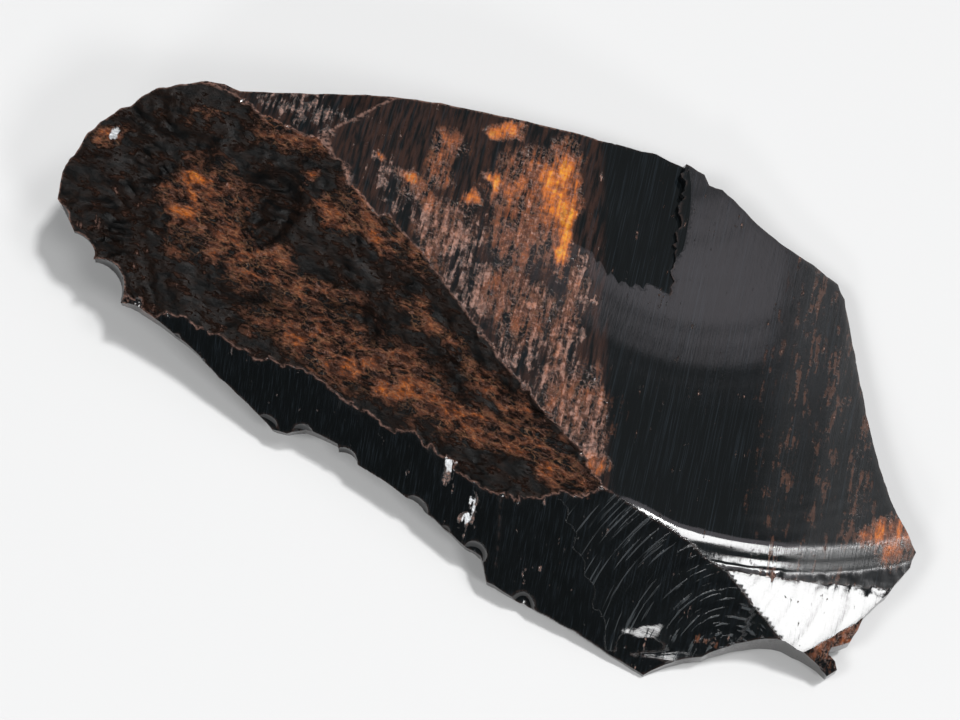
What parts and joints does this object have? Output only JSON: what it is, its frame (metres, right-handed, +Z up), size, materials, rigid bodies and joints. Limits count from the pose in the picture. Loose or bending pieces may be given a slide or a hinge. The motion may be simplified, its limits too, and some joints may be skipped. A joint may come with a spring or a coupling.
{
  "type": "obsidian chunk",
  "caption": "Long struck chunk of mahogany obsidian: glossy hollow flake scars in black glass, a hackly red-brown face, sharp ridges and a chipped rim, resting on a flat base.",
  "frame": {"origin": "centre of the footprint's bounding box, on the plane that the chunk rests on", "axes": "+X along the length, from the thick mahogany end to the thin black end; +Y towards the high back edge; +Z up"},
  "size_m": [0.101, 0.0532, 0.0192],
  "materials": {
    "obsidian": "polished"
  },
  "bodies": {
    "root": {"obsidian_chunk": "obsidian"}
  },
  "joints": []
}
